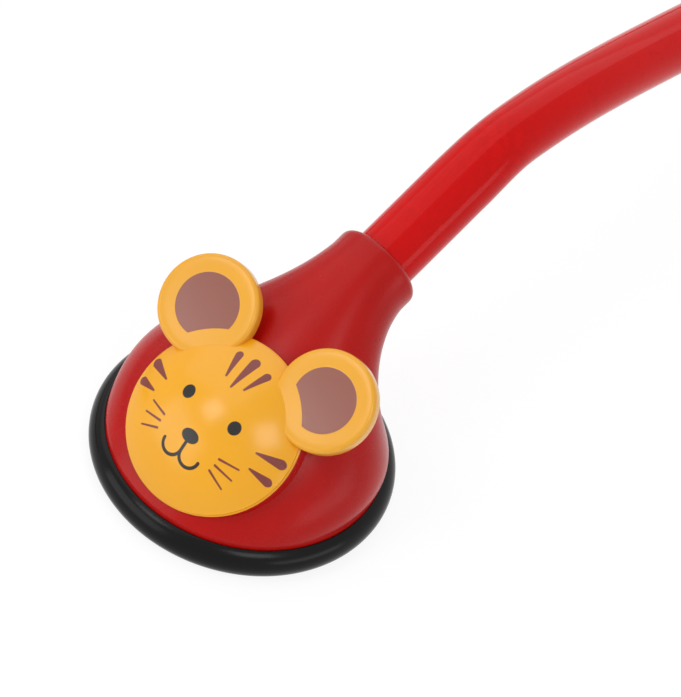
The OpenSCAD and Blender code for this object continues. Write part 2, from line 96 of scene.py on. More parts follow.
# Eyes, nose, and the smile's top, lips and curls, as shares of the face's radius
EYE_PLACE, NOSE_PLACE, SMILE_TOP, LIP, CURL = (0.33, 0.12), (0, -0.24), -0.3, -0.42, 0.12
NOSE_SIZE, SMILE_LINE = (0.0017, 0.0012), 0.0003
# The print's map, how soft the print's edges are, and the ears' map as a multiple of the face's diameter
PRINT_MAP, PRINT_EDGE, EAR_MAP_SPAN = "print", 0.00006, 4

# An ear's dished front (share of its radius, depth) and an ear tip's outline (shares of radius and length)
EAR_DISH = ((0.8, 0.00002), (0.5, 0.0001), (0.25, 0.00014), (0, 0.00015))
TIP_OUTLINE = ((0.6, 0), (0.7, 0.06), (0.82, 0.2), (0.95, 0.38), (1, 0.52), (0.97, 0.66), (0.86, 0.8),
               (0.68, 0.92), (0.5, 0.98), (0.34, 1))

# Sockets of a mix node that carry colours, by number
MIX_SHARE, MIX_A, MIX_B, MIX_RESULT = 0, 6, 7, 2

# Soft lights: name, place, width and depth, power in watts, and the point to face if it isn't the origin
LAMPS = (
    ("ceiling_panel", (-1.5, 1.7, 1.6), (3.0, 4.6), 37.5, (-1.5, 1.7, 0)),
    ("low_box", (-0.6, -0.98, 0.3), (1.1, 0.8), 4.5),
    ("key_box", (-0.64, -1.16, 1.76), (0.6, 0.6), 5.5),
    ("right_window", (1.06, -0.57, 1.6), (0.7, 0.7), 6.1),
    ("right_box", (1.56, 0.03, 0.3), (1.3, 0.46), 3.2))


def number(name, description, default, **display):
    """A number that a user may change."""
    return FloatProperty(name=name, description=description, default=default, **display)


def length(name, description, metres):
    return number(name, description, metres, unit="LENGTH", precision=5)


def angle(name, description, degrees):
    return number(name, description, math.radians(degrees), subtype="ANGLE")


def colour(name, description, *chart):
    """A colour that a user may change, given from 0 to 255 as on a paint chart and kept linear."""
    shares = [value / 255 for value in chart]
    linear = [v / 12.92 if v <= 0.04045 else ((v + 0.055) / 1.055) ** 2.4 for v in shares]
    return FloatVectorProperty(name=name, description=description, default=(*linear, 1.0), size=4,
                               min=0.0, max=1.0, subtype="COLOR")


# Sizes and colours


class ChestPieceSizes(bpy.types.PropertyGroup):
    ring_diameter: length("Ring diameter", "Outer diameter of the rubber ring", 0.054)
    ring_section: length("Ring section", "Radius of the ring's round section", 0.0034)
    ring_flat: length("Ring flat", "Depth cut off the section for the flat underside", 0.0004)
    ring_wall: length("Ring wall", "Rubber between the bell's skirt and the outside", 0.0023)
    ledge_width: length("Ledge width", "Width of the ledge that carries the diaphragm", 0.0035)
    ledge_thickness: length("Ledge thickness", "Thickness of that ledge", 0.002)
    skirt_foot: length("Skirt foot", "Height of the skirt's lower edge", 0.0026)
    shoulder: length("Shoulder", "Height at which the horn begins", 0.0072)
    neck_elevation: angle("Neck elevation", "Elevation of the neck above level", 20)
    neck_back: length("Neck back", "Distance of the neck's end behind the ring's axis", 0.0279)
    neck_height: length("Neck height", "Height of the neck's end", 0.0327)
    collar_diameter: length("Collar diameter", "Diameter of the collar at the neck's end", 0.0164)
    collar_length: length("Collar length", "Straight length of the collar", 0.0037)
    collar_round: length("Collar rounding", "Rounding of the collar's edge", 0.0015)
    front_angle: angle("Front angle", "Angle at which the front leaves the skirt", 51)
    front_rise: length("Front rise", "How far the front keeps that angle", 0.015)
    front_run: length("Front run", "How far the front runs in line with the neck", 0.018)
    back_angle: angle("Back angle", "Angle at which the back leaves the skirt", 125)
    back_rise: length("Back rise", "How far the back keeps that angle", 0.0078)
    back_run: length("Back run", "How far the back runs in line with the neck", 0.0116)
    side_swell: length("Side swell", "How far the sides swell above the skirt", 0.0028)
    side_flare: length("Side flare", "How far the sides stay wide near the neck", 0.0017)
    socket: length("Hose socket", "Radius of the hose's socket in the collar", 0.00595)
    socket_depth: length("Socket depth", "Visible depth of the hose's socket", 0.007)


class FaceSizes(bpy.types.PropertyGroup):
    diameter: length("Face diameter", "Diameter of the face plate", 0.032)
    front: length("Face front", "Distance of the face's centre before the ring's axis", 0.0117)
    height: length("Face height", "Height of the face's centre", 0.0189)
    elevation: angle("Face elevation", "Elevation of the face's normal", 49)
    seat_depth: length("Seat depth", "How far the seat reaches into the bell", 0.005)
    dome_height: length("Dome height", "Height of the dome above its seat", 0.0072)
    dome_edge: length("Dome edge", "Straight edge of the dome", 0.0008)
    lip: length("Dome lip", "Width of the thin lip at the dome's foot", 0.0002)
    ear_diameter: length("Ear diameter", "Diameter of an ear disc", 0.0183)
    ear_thickness: length("Ear thickness", "Thickness of an ear disc", 0.003)
    ear_reach: length("Ear reach", "Distance of an ear's centre from the face's centre", 0.0203)
    ear_angle: angle("Ear angle", "Angle of an ear from the face's upright", 42)
    ear_round: length("Ear rounding", "Rounding of an ear's front edge", 0.0008)
    patch_radius: length("Ear patch", "Radius of the printed patch in an ear", 0.0058)
    patch_limit: length("Patch limit", "How close the patches come to the face's centre", 0.0162)
    eye_radius: length("Eye radius", "Radius of a printed eye", 0.00115)


class HoseSizes(bpy.types.PropertyGroup):
    diameter: length("Hose diameter", "Outer diameter of the hose", 0.0112)
    swelling: number("Swelling", "Share by which a stem stretches the hose", 0.054)
    near_stem: length("Near stem", "Length of hose over the neck's stem", 0.0285)
    far_stem: length("Far stem", "Length of hose over the yoke's barb", 0.014)
    easing: length("Easing", "Length over which the swelling fades", 0.014)


class HeadsetSizes(bpy.types.PropertyGroup):
    arm_diameter: length("Arm diameter", "Diameter of an arm", 0.007)
    eye_diameter: length("Eye diameter", "Diameter of an arm's pivot eye", 0.011)
    eye_height: length("Eye height", "Height of an arm's pivot eye", 0.0094)
    eye_bore: length("Eye bore", "Diameter of the bore in the pivot eye", 0.0031)
    arm_angle: angle("Arm angle", "Angle at which an arm leaves the yoke", 45)
    root_length: length("Root length", "Straight length of an arm from its pivot", 0.030)
    bow_radius: length("Bow radius", "Radius of an arm's bow", 0.050)
    mid_length: length("Middle length", "Straight length between bow and crook", 0.040)
    crook_radius: length("Crook radius", "Radius of an arm's crook", 0.020)
    crook_angle: angle("Crook angle", "How far the crook turns inwards", 70)
    end_length: length("End length", "Straight length after the crook", 0.006)
    tip_diameter: length("Tip diameter", "Largest diameter of an ear tip", 0.013)
    tip_length: length("Tip length", "Length of an ear tip", 0.013)
    tip_hole: length("Sound hole", "Diameter of an ear tip's sound hole", 0.0024)
    edge_round: length("Yoke edges", "Rounding of the yoke's edges", 0.0005)


class FinishColours(bpy.types.PropertyGroup):
    bell_red: colour("Bell red", "Moulded red of the chest piece", 177, 13, 9)
    hose_red: colour("Hose red", "Brighter red of the soft hose", 206, 5, 5)
    face_yellow: colour("Face yellow", "Yellow of the face plate", 241, 169, 22)
    ear_yellow: colour("Ear yellow", "Paler yellow of the ears", 237, 169, 47)
    patch_brown: colour("Ear brown", "Printed patch in the ears", 150, 92, 80)
    stripe_brown: colour("Stripe brown", "Printed stripes and whiskers", 126, 54, 48)
    ink_black: colour("Ink black", "Printed eyes, nose and smile", 22, 18, 16)
    rubber_black: colour("Rubber black", "Rim ring and ear tips", 4, 4, 4)
    stem_white: colour("Stem white", "Stems and diaphragm", 232, 231, 226)
    steel: colour("Steel", "Screws and pivot pins", 160, 162, 165)


class StageSettings(bpy.types.PropertyGroup):
    azimuth: angle("Azimuth", "Side from which the camera looks", 28.2)
    elevation: angle("Elevation", "Height from which the camera looks", 48.0)
    roll: angle("Roll", "Turn of the picture, clockwise", 17.5)
    distance: length("Distance", "Distance of the camera from its aim", 1.7)
    width: length("Picture width", "Width of the picture at the aim", 0.1177)
    aim_right: length("Aim right", "Aim to the right of the ring's centre", 0.01092)
    aim_up: length("Aim up", "Aim above the ring's centre", 0.02114)
    ring_middle: length("Ring middle", "Height of the ring's centre", 0.004)
    floor: length("Floor size", "Width of the floor", 6.0)
    floor_white: number("Floor white", "Share of plain white in the floor that is seen", 0.82)
    floor_glow: number("Floor glow", "Strength of that white", 1.06)
    sky: number("Sky", "Strength of the even light from all sides", 0.42)


class StethoscopeSettings(bpy.types.PropertyGroup):
    chest: PointerProperty(type=ChestPieceSizes)
    face: PointerProperty(type=FaceSizes)
    hose: PointerProperty(type=HoseSizes)
    headset: PointerProperty(type=HeadsetSizes)
    finish: PointerProperty(type=FinishColours)
    stage: PointerProperty(type=StageSettings)


# Places


def neck_place(chest):
    """The neck's end, with Z along the neck."""
    return (Matrix.Translation((0, chest.neck_back, chest.neck_height))
            @ Matrix.Rotation(chest.neck_elevation - math.pi / 2, 4, "X"))


def face_place(face):
    """The face's seat, with Z out of the face and Y up the face."""
    return (Matrix.Translation((0, -face.front, face.height))
            @ Matrix.Rotation(math.pi / 2 - face.elevation, 4, "X"))


def arm_place(side):
    """An arm's pivot, with Y from the yoke to the ear tips and X outwards."""
    turn = Matrix.Rotation(math.pi, 4, "Z")
    if side == "right":
        turn = turn @ Matrix.Scale(-1, 4, (1, 0, 0))
    return Matrix.Translation(PIVOTS[ARM_BODIES[side]]) @ turn


def ear_middles(face):
    """Centres of the left and the right ear, on the face's seat."""
    turn = face.ear_angle
    return [(side * face.ear_reach * math.sin(turn), face.ear_reach * math.cos(turn)) for side in (-1, 1)]


# Meshes


def arc(middle, radius, start, end, steps):
    """Points on an arc, angles in degrees."""
    turns = [math.radians(start + (end - start) * k / steps) for k in range(steps + 1)]
    return [(middle[0] + radius * math.cos(t), middle[1] + radius * math.sin(t)) for t in turns]


def bezier(p, s):
    """Point at share s of a curve with four control points."""
    return (p[0] * (1 - s) ** 3 + p[1] * (3 * s * (1 - s) ** 2) + p[2] * (3 * s * s * (1 - s)) + p[3] * s ** 3)


def smooth_line(points, spacing):
    """Points along a smooth curve through the given ones, about as far apart as spacing."""
    points = [Vector(p) for p in points]
    line = []
    for k in range(len(points) - 1):
        before = points[k - 1] if k else 2 * points[0] - points[1]
        a, b = points[k], points[k + 1]
        after = points[k + 2] if k + 2 < len(points) else 2 * b - a
        span = (b - a).length
        leave = (b - before) * (span / ((a - before).length + span))
        arrive = (after - a) * (span / (span + (after - b).length))
        steps = max(1, round(span / spacing))
        for n in range(steps):
            t = n / steps
            line.append(a * (2 * t ** 3 - 3 * t * t + 1) + leave * (t ** 3 - 2 * t * t + t)
                        + b * (3 * t * t - 2 * t ** 3) + arrive * (t ** 3 - t * t))
    return line + [points[-1]]


def revolve(bm, profile, segments, place, loop=False):
    """Turns a profile of radius and height about Z.

    A loop closes on itself, and a point of radius 0 is a pole.
    """
    rows = []
    for radius, height in profile:
        count = segments if radius else 1
        turns = [2 * math.pi * k / count for k in range(count)]
        rows.append([bm.verts.new(place @ Vector((radius * math.cos(t), radius * math.sin(t), height)))
                     for t in turns])
    pairs = list(zip(rows, rows[1:]))
    if loop:
        pairs.append((rows[-1], rows[0]))
    for low, high in pairs:
        for k in range(segments):
            n = (k + 1) % segments
            corners = [low[k % len(low)], low[n % len(low)], high[n % len(high)], high[k % len(high)]]
            bm.faces.new(dict.fromkeys(corners))


def skin(bm, rings):
    """Joins closed rings of points in order and caps both ends."""
    rows = [[bm.verts.new(point) for point in ring] for ring in rings]
    count = len(rows[0])
    for low, high in zip(rows, rows[1:]):
        for k in range(count):
            n = (k + 1) % count
            bm.faces.new((low[k], low[n], high[n], high[k]))
    for row in (rows[0], rows[-1]):
        hub = bm.verts.new(sum((v.co for v in row), Vector()) / count)
        for k in range(count):
            bm.faces.new((row[k], row[(k + 1) % count], hub))


def new_object(name, data):
    """A new object in the scene."""
    thing = bpy.data.objects.new(name, data)
    bpy.context.scene.collection.objects.link(thing)
    return thing


def finish_piece(bm, name, material, body, nodes, crease):
    """Makes a piece from a mesh in progress."""
    bmesh.ops.recalc_face_normals(bm, faces=bm.faces)
    mesh = bpy.data.meshes.new(name)
    bm.to_mesh(mesh)
    bm.free()
    return dress(name, mesh, material, body, nodes, crease)


def dress(name, mesh, material, body, nodes, crease):
    """Makes a piece with a finish, smooth up to the crease, on its body in place of the frame's nodes."""
    piece = new_object(name, mesh)
    mesh.materials.clear()
    mesh.materials.append(material)
    mesh.shade_smooth()
    mesh.set_sharp_from_angle(angle=math.radians(crease))
    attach(piece, body)
    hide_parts(*nodes)
    return piece


def flat_map(mesh, place, span):
    """Lays a UV map on a mesh's front, seen square on in a place, with span as its full width."""
    layer = mesh.uv_layers.new(name=PRINT_MAP)
    back = place.inverted()
    for polygon in mesh.polygons:
        front = (back.to_3x3() @ polygon.normal).z > 0.3
        for index in polygon.loop_indices:
            point = back @ mesh.vertices[mesh.loops[index].vertex_index].co
            layer.data[index].uv = (point.x / span + 0.5, point.y / span + 0.5) if front else (0, 0)


def add_node(tree, kind, inputs=(), **settings):
    """A new node, with its inputs linked to sockets or set to values."""
    node = tree.nodes.new(kind)
    for key, value in settings.items():
        setattr(node, key, value)
    for key, value in dict(inputs).items():
        if isinstance(value, bpy.types.NodeSocket):
            tree.links.new(value, node.inputs[key])
        else:
            node.inputs[key].default_value = value
    return node


def tube_tree():
    """Geometry nodes that draw a round tube along a path, stretched near both ends."""
    tree = bpy.data.node_groups.new("tube_along_path", "GeometryNodeTree")
    inputs = {"Path": "Geometry", "Radius": "Float", "Swelling": "Float", "Near Stem": "Float",
              "Far Stem": "Float", "Easing": "Float", "Sides": "Int", "Material": "Material"}
    for name, kind in inputs.items():
        tree.interface.new_socket(name, in_out="INPUT", socket_type="NodeSocket" + kind)
    tree.interface.new_socket("Tube", in_out="OUTPUT", socket_type="NodeSocketGeometry")
    given = tree.nodes.new("NodeGroupInput").outputs
    out = tree.nodes.new("NodeGroupOutput").inputs

    def add(kind, inputs=(), **settings):
        return add_node(tree, kind, inputs, **settings)

    def math_of(operation, a, b):
        return add("ShaderNodeMath", {0: a, 1: b}, operation=operation).outputs[0]

    def stretch(distance, stem):
        """1 over the stem, easing to 0 past it."""
        past = math_of("SUBTRACT", distance, stem)
        ease = {"Value": past, "From Min": 0.0, "From Max": given["Easing"], "To Min": 1.0, "To Max": 0.0}
        return add("ShaderNodeMapRange", ease, interpolation_type="SMOOTHSTEP").outputs["Result"]

    along = add("GeometryNodeSplineParameter").outputs
    whole = add("GeometryNodeSplineLength").outputs["Length"]
    near = stretch(along["Length"], given["Near Stem"])
    far = stretch(math_of("SUBTRACT", whole, along["Length"]), given["Far Stem"])
    scale = math_of("ADD", math_of("MULTIPLY", math_of("MAXIMUM", near, far), given["Swelling"]), 1.0)
    path = add("GeometryNodeStoreNamedAttribute", {"Geometry": given["Path"], "Name": "along",
                                                   "Value": along["Length"]}, domain="POINT")
    ring = add("GeometryNodeCurvePrimitiveCircle", {"Resolution": given["Sides"], "Radius": given["Radius"]})
    tube = add("GeometryNodeCurveToMesh", {"Curve": path.outputs[0], "Profile Curve": ring.outputs["Curve"],
                                           "Scale": scale, "Fill Caps": True})
    real = add("GeometryNodeRealizeInstances", {"Geometry": tube.outputs[0]})
    painted = add("GeometryNodeSetMaterial", {"Geometry": real.outputs[0], "Material": given["Material"]})
    tree.links.new(painted.outputs[0], out["Tube"])
    return tree


def draw_tube(name, line, material, **sizes):
    """A plain mesh tube along a line of points, from the tube tree."""
    tree = bpy.data.node_groups.get("tube_along_path") or tube_tree()
    curve = bpy.data.curves.new(name + "_path", "CURVE")
    curve.dimensions = "3D"
    spline = curve.splines.new("POLY")
    spline.points.add(len(line) - 1)
    for point, place in zip(spline.points, line):
        point.co = (*place, 1)
    path = new_object(name + "_path", curve)
    modifier = path.modifiers.new("tube", "NODES")
    modifier.node_group = tree
    sockets = {item.name: item.identifier for item in tree.interface.items_tree if item.in_out == "INPUT"}
    for key, value in {**sizes, "Material": material}.items():
        modifier[sockets[key]] = value
    bpy.context.view_layer.update()
    graph = bpy.context.evaluated_depsgraph_get()
    mesh = bpy.data.meshes.new_from_object(path.evaluated_get(graph), depsgraph=graph)
    mesh.name = name
    path.modifiers.clear()
    bpy.data.objects.remove(path)
    bpy.data.curves.remove(curve)
    return mesh


# Materials


class Finish:
    """A procedural material in the making: a shader and the patterns that drive it."""

    def __init__(self, name, base, roughness, **sockets):
        self.material = bpy.data.materials.new(name)
        self.material.use_nodes = True
        self.material.diffuse_color = base
        self.tree = self.material.node_tree
        self.shader = self.tree.nodes["Principled BSDF"]
        for key, value in {"Base Color": base, "Roughness": roughness, **sockets}.items():
            self.shader.inputs[key.replace("_", " ")].default_value = value
        self.place = self.add("ShaderNodeTexCoord").outputs["Object"]

    def add(self, kind, inputs=(), **settings):
        return add_node(self.tree, kind, inputs, **settings)

    def math(self, operation, a, b=0.0):
        return self.add("ShaderNodeMath", {0: a, 1: b}, operation=operation).outputs[0]

    def vector(self, operation, inputs, output="Vector"):
        return self.add("ShaderNodeVectorMath", inputs, operation=operation).outputs[output]

    def noise(self, scale, detail, vector=None, roughness=0.5):
        inputs = {"Vector": vector or self.place, "Scale": scale, "Detail": detail, "Roughness": roughness}
        return self.add("ShaderNodeTexNoise", inputs).outputs["Fac"]

    def remap(self, value, low, high, start=0.0, end=1.0, smooth=False):
        """Takes values from start to end into low to high."""
        inputs = {"Value": value, "From Min": start, "From Max": end, "To Min": low, "To Max": high}
        return self.add("ShaderNodeMapRange", inputs,
                        interpolation_type="SMOOTHSTEP" if smooth else "LINEAR").outputs["Result"]

    def blend(self, share, a, b):
        inputs = {MIX_SHARE: share, MIX_A: a, MIX_B: b}
        return self.add("ShaderNodeMix", inputs, data_type="RGBA").outputs[MIX_RESULT]

    def clouded(self, base, scale, dark, light):
        """The base colour, drifting softly between a darker and a lighter shade."""
        drift = self.remap(self.noise(scale, 3), 0, 1, 0.3, 0.7)
        return self.blend(drift, shade(base, dark), shade(base, light))

    def printed_place(self, span):
        """Place on the print's map in metres from its middle, where the map is as wide as span."""
        flat = self.add("ShaderNodeUVMap", uv_map=PRINT_MAP).outputs[0]
        centred = self.vector("SUBTRACT", {0: flat, 1: (0.5, 0.5, 0)})
        return self.vector("SCALE", {0: centred, "Scale": span})

    def drive(self, socket, value):
        self.tree.links.new(value, self.shader.inputs[socket])

    def wear(self, pattern, low, high):
        """Lets the roughness drift between two values with a pattern."""
        self.drive("Roughness", self.remap(pattern, low, high, 0.3, 0.7))

    def relief(self, height, depth, strength):
        node = self.add("ShaderNodeBump", {"Height": height, "Distance": depth, "Strength": strength})
        self.drive("Normal", node.outputs["Normal"])

    def stroke(self, place, start, end, wide, narrow):
        """How far a printed stroke covers a point: from start to end, tapering between two half widths."""
        start, end = Vector((*start, 0)), Vector((*end, 0))
        run = end - start
        here = self.vector("SUBTRACT", {0: place, 1: start})
        along = self.vector("DOT_PRODUCT", {0: here, 1: run / run.length_squared}, "Value")
        along = self.remap(along, 0.0, 1.0)
        foot = self.vector("SCALE", {0: run, "Scale": along})
        gap = self.vector("DISTANCE", {0: here, 1: foot}, "Value")
        edge = self.remap(along, wide, narrow)
        return self.remap(self.math("SUBTRACT", gap, edge), 1.0, 0.0, -PRINT_EDGE, PRINT_EDGE, True)

    def spot(self, place, middle, radii):
        """How far a printed oval covers a point."""
        inputs = {"Vector": place, "Location": (*middle, 0), "Scale": (*radii, 1)}
        scaled = self.add("ShaderNodeMapping", inputs, vector_type="TEXTURE").outputs[0]
        size = self.vector("LENGTH", {0: scaled}, "Value")
        soft = PRINT_EDGE / min(radii)
        return self.remap(size, 1.0, 0.0, 1 - soft, 1 + soft, True)

    def bow(self, place, middle, radius, half):
        """How far a printed line in the form of a hanging half circle covers a point."""
        here = self.vector("SUBTRACT", {0: place, 1: (*middle, 0)})
        size = self.vector("LENGTH", {0: here}, "Value")
        gap = self.math("ABSOLUTE", self.math("SUBTRACT", size, radius))
        line = self.remap(gap, 1.0, 0.0, half - PRINT_EDGE, half + PRINT_EDGE, True)
        above = self.add("ShaderNodeSeparateXYZ", {0: here}).outputs["Y"]
        return self.math("MULTIPLY", line, self.math("LESS_THAN", above, 0.0))

    def any_of(self, masks):
        """Where any of these marks covers a point."""
        total = masks[0]
        for mask in masks[1:]:
            total = self.math("MAXIMUM", total, mask)
        return total


def shade(base, factor):
    """A colour made darker or lighter."""
    return (*[min(1.0, c * factor) for c in base[:3]], 1.0)


def moulded_red(finish):
    """Satin moulded plastic: faint clouding, a fine grain and a roughness that drifts."""
    made = bpy.data.materials.get("moulded_red")
    if made:
        return made
    red = tuple(finish.bell_red)
    look = Finish("moulded_red", red, 0.27, Specular_IOR_Level=0.18)
    look.drive("Base Color", look.clouded(red, 90, 0.94, 1.05))
    look.wear(look.noise(240, 4), 0.24, 0.3)
    look.relief(look.noise(2600, 2), 0.00002, 0.35)
    return look.material


def hose_red(finish):
    """Soft glossy plastic drawn through a die: long faint streaks and a few handling marks."""
    red = tuple(finish.hose_red)
    look = Finish("hose_red", red, 0.1, Specular_IOR_Level=0.12)
    along = look.add("ShaderNodeAttribute", attribute_name="along").outputs["Fac"]
    fine, drawn = look.noise(700, 1), look.math("MULTIPLY", along, 14.0)
    streak = look.noise(3.0, 3, look.add("ShaderNodeCombineXYZ", {"X": fine, "Y": drawn}).outputs[0])
    tint = look.remap(streak, 0, 1, 0.35, 0.65)
    look.drive("Base Color", look.blend(tint, shade(red, 0.95), shade(red, 1.04)))
    look.drive("Roughness", look.remap(look.noise(160, 4), 0.08, 0.13, 0.35, 0.7))
    look.relief(streak, 0.00002, 0.2)
    return look.material


def rubber_black(finish):
    """Smooth rubber with a soft gloss, fine pores and rubbed patches."""
    made = bpy.data.materials.get("rubber_black")
    if made:
        return made
    black = tuple(finish.rubber_black)
    look = Finish("rubber_black", black, 0.2, Specular_IOR_Level=0.17)
    rub = look.noise(130, 5, roughness=0.6)
    look.drive("Base Color", look.blend(look.remap(rub, 0, 1, 0.4, 0.75), black, shade(black, 1.6)))
    look.wear(rub, 0.16, 0.25)
    look.relief(look.noise(3200, 3), 0.00002, 0.4)
    return look.material


def white_plastic(finish):
    """Plain white moulded plastic with a fine grain."""
    white = tuple(finish.stem_white)
    look = Finish("white_plastic", white, 0.45)
    look.drive("Base Color", look.blend(look.noise(200, 3), shade(white, 0.95), white))
    look.wear(look.noise(300, 3), 0.4, 0.52)
    look.relief(look.noise(2600, 2), 0.00002, 0.3)
    return look.material


def diaphragm_film(finish):
    """Stiff white film with fine rings pressed round its middle."""
    white = tuple(finish.stem_white)
    look = Finish("diaphragm_film", white, 0.34)
    parts = look.add("ShaderNodeSeparateXYZ", {0: look.place}).outputs
    flat = look.add("ShaderNodeCombineXYZ", {"X": parts["X"], "Y": parts["Y"]}).outputs[0]
    radius = look.vector("LENGTH", {0: flat}, "Value")
    wave = look.math("SINE", look.math("MULTIPLY", radius, 3600.0))
    look.drive("Base Color", look.blend(look.noise(120, 3), shade(white, 0.93), white))
    look.wear(look.noise(260, 3), 0.28, 0.42)
    look.relief(wave, 0.00003, 0.5)
    return look.material


def brushed_steel(finish):
    """Plated steel with fine turning marks."""
    steel = tuple(finish.steel)
    look = Finish("brushed_steel", steel, 0.3, Metallic=1.0)
    mark = look.noise(5200, 3)
    look.drive("Base Color", look.blend(look.noise(500, 2), shade(steel, 0.86), steel))
    look.wear(mark, 0.24, 0.4)
    look.relief(mark, 0.00001, 0.3)
    return look.material


def both_sides(strokes):
    """Strokes of the face's right half, and their mirror images."""
    mirrored = [((-start[0], start[1]), (-end[0], end[1]), *widths) for start, end, *widths in strokes]
    return [*strokes, *mirrored]


def printed_face(finish, face):
    """Glossy yellow plastic with a plain animal face printed on it."""
    yellow = tuple(finish.face_yellow)
    look = Finish("printed_face", yellow, 0.22, Specular_IOR_Level=0.42)
    place = look.printed_place(face.diameter)
    r = face.diameter / 2
    strokes = [BROW_STRIPE, *both_sides(RIGHT_STRIPES), *both_sides(RIGHT_WHISKERS)]

    def at(x, y):
        return (x * r, y * r)

    smile = [look.stroke(place, at(0, SMILE_TOP), at(0, LIP), SMILE_LINE, SMILE_LINE)]
    for side in (-1, 1):
        smile.append(look.bow(place, at(side * CURL, LIP), CURL * r, SMILE_LINE))
        smile.append(look.spot(place, at(side * 2 * CURL, LIP), (SMILE_LINE, SMILE_LINE)))
    brown = look.any_of([look.stroke(place, at(*start), at(*end), *widths) for start, end, *widths in strokes])
    eye = (face.eye_radius, 1.1 * face.eye_radius)
    eyes = [look.spot(place, at(side * EYE_PLACE[0], EYE_PLACE[1]), eye) for side in (-1, 1)]
    black = look.any_of([*smile, *eyes, look.spot(place, at(*NOSE_PLACE), NOSE_SIZE)])
    inked = look.blend(brown, look.clouded(yellow, 60, 0.97, 1.03), tuple(finish.stripe_brown))
    look.drive("Base Color", look.blend(black, inked, tuple(finish.ink_black)))
    ink = look.math("MAXIMUM", brown, black)
    look.drive("Roughness", look.math("ADD", look.remap(look.noise(220, 4), 0.2, 0.25, 0.3, 0.7),
                                      look.math("MULTIPLY", ink, 0.06)))
    grain = look.math("ADD", look.math("MULTIPLY", look.noise(1800, 2), 0.3), ink)
    look.relief(grain, 0.00002, 0.5)
    return look.material


def printed_ear(finish, face):
    """Glossy paler yellow with a brown patch that stops short of the dome."""
    yellow = tuple(finish.ear_yellow)
    look = Finish("printed_ear", yellow, 0.19, Specular_IOR_Level=0.32)
    place = look.printed_place(EAR_MAP_SPAN * face.diameter)
    round_patch = [look.spot(place, middle, (face.patch_radius, face.patch_radius))
                   for middle in ear_middles(face)]
    inside = look.spot(place, (0, 0), (face.patch_limit, face.patch_limit))
    patch = look.math("MULTIPLY", look.any_of(round_patch), look.math("SUBTRACT", 1.0, inside))
    look.drive("Base Color", look.blend(patch, look.clouded(yellow, 60, 0.97, 1.03), tuple(finish.patch_brown)))
    look.wear(look.noise(220, 4), 0.17, 0.22)
    grain = look.math("ADD", look.math("MULTIPLY", look.noise(1800, 2), 0.3), patch)
    look.relief(grain, 0.00002, 0.5)
    return look.material


def background_rays(tree):
    """1 for the rays that show the background: the camera's own, and those that gloss or glass sends on."""
    rays = tree.nodes.new("ShaderNodeLightPath").outputs
    seen = rays["Is Camera Ray"]
    for name in ("Is Glossy Ray", "Is Transmission Ray"):
        seen = add_node(tree, "ShaderNodeMath", {0: seen, 1: rays[name]}, operation="MAXIMUM").outputs[0]
    return seen


# Operators


class STETHO_OT_stage(bpy.types.Operator):
    """Sets up the camera, the pale floor and the soft lights"""
    bl_idname = "stetho.stage"
    bl_label = "Stage"

    def execute(self, context):
        stage = context.scene.stethoscope.stage
        a, e, roll = stage.azimuth, stage.elevation, stage.roll
        back = Vector((math.sin(a) * math.cos(e), -math.cos(a) * math.cos(e), math.sin(e)))
        right = Vector((math.cos(a), math.sin(a), 0))
        up = back.cross(right)
        aim = Vector((0, 0, stage.ring_middle)) + stage.aim_right * right + stage.aim_up * up
        across = math.cos(roll) * right + math.sin(roll) * up
        upright = math.cos(roll) * up - math.sin(roll) * right
        lens = bpy.data.cameras.new("camera")
        lens.sensor_fit = "HORIZONTAL"
        lens.sensor_width = 36
        lens.lens = lens.sensor_width * stage.distance / stage.width
        lens.clip_start = 0.01
        camera = new_object("camera", lens)
        turn = Matrix((across, upright, back)).transposed().to_4x4()
        camera.matrix_world = Matrix.Translation(aim + stage.distance * back) @ turn
        context.scene.camera = camera
        self.floor(stage)
        self.light(context, stage)
        context.scene.view_settings.view_transform = "Standard"
        return {"FINISHED"}

    def floor(self, stage):
        """A pale floor just under the part, white where the background shows and shaded by the part."""
        half, sunk = stage.floor / 2, -0.0001
        mesh = bpy.data.meshes.new("floor")
        corners = [(x * half, y * half, sunk) for x, y in ((-1, -1), (1, -1), (1, 1), (-1, 1))]
        mesh.from_pydata(corners, [], [(0, 1, 2, 3)])
        floor = new_object("floor", mesh)
        look = Finish("pale_floor", (0.92, 0.92, 0.92, 1), 0.9, Specular_IOR_Level=0.0)
        white = look.add("ShaderNodeEmission", {"Strength": stage.floor_glow})
        seen = look.math("MULTIPLY", background_rays(look.tree), stage.floor_white)
        mix = look.add("ShaderNodeMixShader", {0: seen, 1: look.shader.outputs[0], 2: white.outputs[0]})
        look.tree.links.new(mix.outputs[0], look.tree.nodes["Material Output"].inputs["Surface"])
        mesh.materials.append(look.material)

    def light(self, context, stage):
        """Even light from all sides, white where the background shows, and the soft lamps."""
        world = bpy.data.worlds.new("even_light")
        context.scene.world = world
        world.use_nodes = True
        tree = world.node_tree
        sky = tree.nodes["Background"]
        sky.inputs["Color"].default_value = (1, 1, 1, 1)
        shown = {"Value": background_rays(tree), "To Min": stage.sky, "To Max": 1.0}
        level = add_node(tree, "ShaderNodeMapRange", shown)
        tree.links.new(level.outputs["Result"], sky.inputs["Strength"])
        for lamp in LAMPS:
            self.lamp(*lamp)

    def lamp(self, name, place, sides, power, aim=(0, 0, 0)):
        light = bpy.data.lights.new(name, "AREA")
        light.shape = "RECTANGLE"
        light.size, light.size_y = sides
        light.energy = power
        lamp = new_object(name, light)
        lamp.location = place
        lamp.rotation_euler = (Vector(place) - Vector(aim)).to_track_quat("Z", "Y").to_euler()


